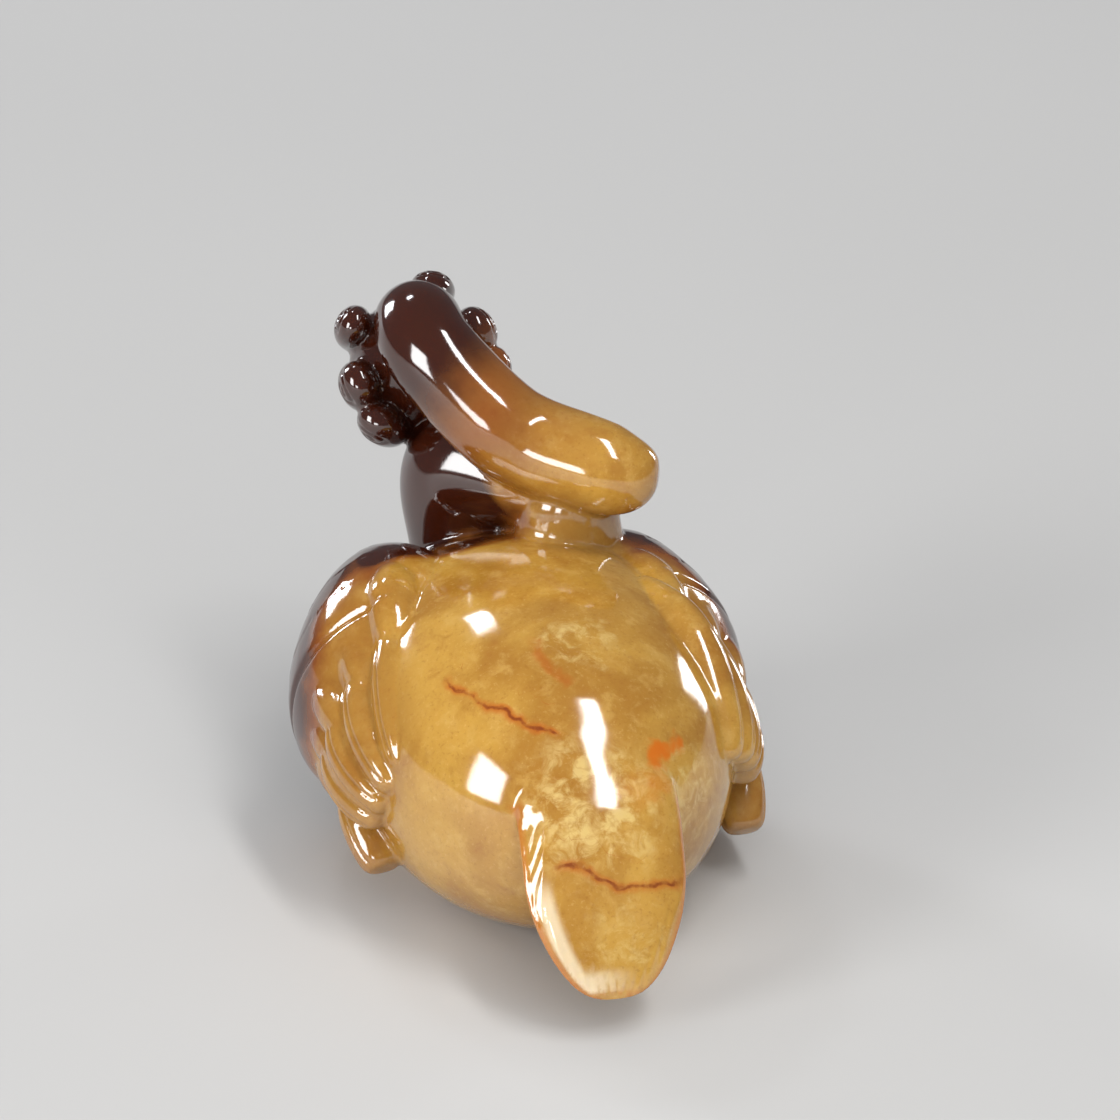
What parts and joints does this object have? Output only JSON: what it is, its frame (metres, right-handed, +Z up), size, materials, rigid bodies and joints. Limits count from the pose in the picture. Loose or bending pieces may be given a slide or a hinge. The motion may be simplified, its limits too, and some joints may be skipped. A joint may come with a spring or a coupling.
{
  "type": "bird carving",
  "caption": "Small polished stone bird at rest, with a flat belly to stand on, folded wings, a long neck bent back over the shoulders and a tongue-shaped tail.",
  "frame": {"origin": "middle of the flat belly that the carving stands on", "axes": "+Y the way the bird faces, +Z up, +X to the bird's right"},
  "size_m": [0.0379, 0.0645, 0.0438],
  "materials": {
    "jade": "polished honey-brown jade with a dark russet skin"
  },
  "bodies": {
    "root": {"bird": "jade"}
  },
  "joints": []
}
